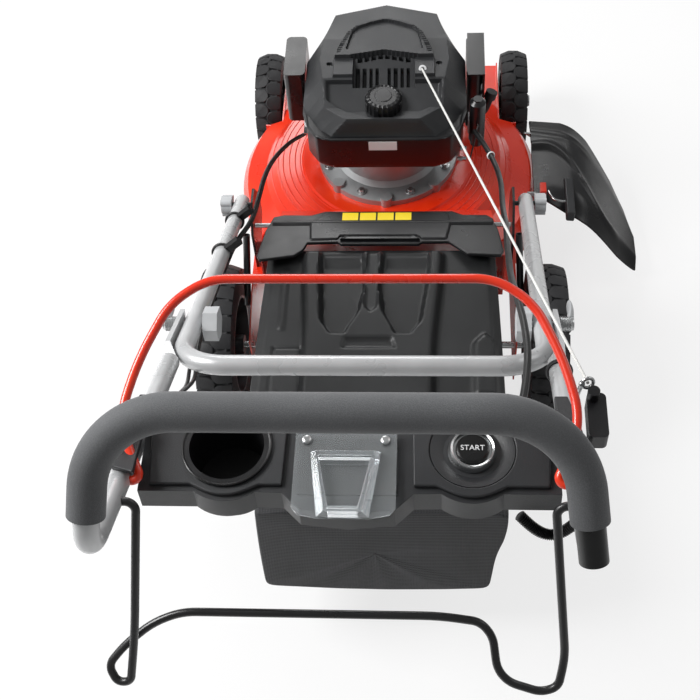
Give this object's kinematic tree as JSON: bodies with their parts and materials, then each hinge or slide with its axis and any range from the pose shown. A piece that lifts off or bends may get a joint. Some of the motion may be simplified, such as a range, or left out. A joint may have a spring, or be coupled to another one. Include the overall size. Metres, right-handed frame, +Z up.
{
  "type": "push lawn mower",
  "caption": "Walk-behind petrol lawn mower with red steel deck, rear grass bag, side chute, folding tubular handle, foam grip and a console with cup holder.",
  "frame": {"origin": "on the ground, straight under the crankshaft", "axes": "+X to the operator's right, +Y forward, +Z up"},
  "size_m": [0.7855, 1.5365, 1.026],
  "materials": {
    "tyre_rubber": "moulded rubber with lugs",
    "hub_plastic": "dark moulded plastic",
    "zinc_steel": "bright zinc plate",
    "red_paint": "gloss red powder coat",
    "cast_aluminium": "as cast",
    "black_plastic": "fine textured black plastic",
    "dark_steel": "satin black paint",
    "steel": "machined steel",
    "rubber": "black rubber and vinyl",
    "bag_fabric": "woven black polyester mesh",
    "grey_plastic": "light grey plastic",
    "grey_tube": "silver-grey powder coat",
    "foam": "closed-cell foam sleeve",
    "clear_plastic": "clear polycarbonate",
    "white_rope": "braided white polyester"
  },
  "bodies": {
    "chassis": {"deck": "red_paint", "axles": "zinc_steel", "handle_brackets": "dark_steel", "crankcase": "cast_aluminium", "cylinder": "cast_aluminium", "spark_plug": "steel", "fan_housing": "black_plastic", "recoil_cover": "black_plastic", "fuel_tank": "black_plastic", "air_filter_box": "black_plastic", "carburettor": "cast_aluminium", "muffler": "dark_steel", "muffler_guard": "dark_steel", "starter_motor": "dark_steel", "oil_filler_tube": "dark_steel", "gearbox": "cast_aluminium", "drive_belt": "rubber", "hinge_rods": "zinc_steel"},
    "rotor": {"crankshaft": "steel", "flywheel": "steel", "blade_adapter": "steel", "blade": "steel", "blade_bolt": "zinc_steel"},
    "drive_pulley": {"drive_pulley": "steel"},
    "fuel_cap": {"fuel_cap": "black_plastic"},
    "dipstick": {"dipstick": "black_plastic"},
    "rear_flap": {"rear_flap": "black_plastic"},
    "side_chute": {"side_chute": "black_plastic"},
    "grass_bag": {"bag_cover": "black_plastic", "bag_cloth": "bag_fabric", "bag_frame": "red_paint"},
    "lower_handle": {"lower_handle": "grey_tube", "handle_bolts": "zinc_steel", "control_cables": "rubber", "wiring_harness": "rubber", "starter_rope": "white_rope"},
    "bracket_knob_left": {"bracket_knob_left": "grey_plastic"},
    "bracket_knob_right": {"bracket_knob_right": "grey_plastic"},
    "upper_handle": {"upper_handle": "grey_tube", "grip_foam": "foam", "console": "black_plastic", "battery": "black_plastic", "cup_holder": "black_plastic", "start_bezel": "zinc_steel", "card_holder": "clear_plastic", "rope_guide": "zinc_steel"},
    "cam_lever_left": {"cam_lever_left": "zinc_steel"},
    "cam_lever_right": {"cam_lever_right": "zinc_steel"},
    "brake_bail": {"brake_bail": "red_paint"},
    "drive_bail": {"drive_bail": "dark_steel"},
    "start_button": {"start_button": "black_plastic"},
    "starter_grip": {"starter_grip": "black_plastic"},
    "front_left_wheel": {"front_left_tyre": "tyre_rubber", "front_left_hub": "hub_plastic"},
    "front_right_wheel": {"front_right_tyre": "tyre_rubber", "front_right_hub": "hub_plastic"},
    "rear_left_wheel": {"rear_left_tyre": "tyre_rubber", "rear_left_hub": "hub_plastic"},
    "rear_right_wheel": {"rear_right_tyre": "tyre_rubber", "rear_right_hub": "hub_plastic"}
  },
  "joints": [
    {"name": "crank_spin", "type": "hinge", "parent": "chassis", "child": "rotor", "pos_m": [0, 0, 0.2], "axis": [0, 0, 1], "continuous": true},
    {"name": "drive_pulley_spin", "type": "hinge", "parent": "chassis", "child": "drive_pulley", "pos_m": [0, -0.348, 0.091], "axis": [0, 0, 1], "continuous": true},
    {"name": "front_left_roll", "type": "hinge", "parent": "chassis", "child": "front_left_wheel", "pos_m": [-0.246, 0.242, 0.1], "axis": [1, 0, 0], "continuous": true},
    {"name": "front_right_roll", "type": "hinge", "parent": "chassis", "child": "front_right_wheel", "pos_m": [0.246, 0.242, 0.1], "axis": [1, 0, 0], "continuous": true},
    {"name": "rear_left_roll", "type": "hinge", "parent": "chassis", "child": "rear_left_wheel", "pos_m": [-0.278, -0.398, 0.14], "axis": [1, 0, 0], "continuous": true},
    {"name": "rear_right_roll", "type": "hinge", "parent": "chassis", "child": "rear_right_wheel", "pos_m": [0.278, -0.398, 0.14], "axis": [1, 0, 0], "continuous": true},
    {"name": "fuel_cap_turn", "type": "hinge", "parent": "chassis", "child": "fuel_cap", "pos_m": [0, -0.073, 0.4], "axis": [0, 0, 1], "range_deg": [0, 90]},
    {"name": "dipstick_pull", "type": "slide", "parent": "chassis", "child": "dipstick", "axis": [0.3249, 0.2166, 0.9206], "range_m": [0, 0.05]},
    {"name": "flap_lift", "type": "hinge", "parent": "chassis", "child": "rear_flap", "pos_m": [0, -0.272, 0.312], "axis": [-1, 0, 0], "range_deg": [0, 60]},
    {"name": "chute_lift", "type": "hinge", "parent": "chassis", "child": "side_chute", "pos_m": [0.292, 0, 0.15], "axis": [0, -1, 0], "range_deg": [0, 75]},
    {"name": "bag_pull", "type": "slide", "parent": "chassis", "child": "grass_bag", "axis": [0, -1, 0], "range_m": [0, 0.3]},
    {"name": "lower_handle_fold", "type": "hinge", "parent": "chassis", "child": "lower_handle", "pos_m": [0, -0.238, 0.327], "axis": [-1, 0, 0], "range_deg": [0, 147], "deforming": ["control_cables", "wiring_harness", "starter_rope"]},
    {"name": "upper_handle_fold", "type": "hinge", "parent": "lower_handle", "child": "upper_handle", "pos_m": [0, -0.693, 0.606], "axis": [1, 0, 0], "range_deg": [-145, 0]},
    {"name": "bracket_knob_left_turn", "type": "hinge", "parent": "chassis", "child": "bracket_knob_left", "pos_m": [-0.265, -0.238, 0.327], "axis": [1, 0, 0], "range_deg": [0, 360]},
    {"name": "bracket_knob_right_turn", "type": "hinge", "parent": "chassis", "child": "bracket_knob_right", "pos_m": [0.265, -0.238, 0.327], "axis": [1, 0, 0], "range_deg": [0, 360]},
    {"name": "cam_lever_left_flip", "type": "hinge", "parent": "lower_handle", "child": "cam_lever_left", "pos_m": [-0.259, -0.693, 0.606], "axis": [0, 0.522, 0.8529], "range_deg": [0, 110]},
    {"name": "cam_lever_right_flip", "type": "hinge", "parent": "lower_handle", "child": "cam_lever_right", "pos_m": [0.259, -0.693, 0.606], "axis": [0, -0.522, -0.8529], "range_deg": [0, 110]},
    {"name": "brake_bail_pull", "type": "hinge", "parent": "upper_handle", "child": "brake_bail", "pos_m": [0, -1.04, 0.80964], "axis": [-1, 0, 0], "range_deg": [-72, 0]},
    {"name": "drive_bail_pull", "type": "hinge", "parent": "upper_handle", "child": "drive_bail", "pos_m": [0, -1.075, 0.83018], "axis": [-1, 0, 0], "range_deg": [0, 60]},
    {"name": "start_button_press", "type": "slide", "parent": "upper_handle", "child": "start_button", "axis": [0, 0, -1], "range_m": [0, 0.003], "stiffness_N_per_m": 900, "springref_m": -0.002},
    {"name": "starter_pull", "type": "slide", "parent": "upper_handle", "child": "starter_grip", "axis": [0.2001, -0.4501, 0.8703], "range_m": [0, 0.4]}
  ],
  "couplings": [
    {"joint": "drive_pulley_spin", "follows": "crank_spin", "ratio": 0.6579}
  ]
}
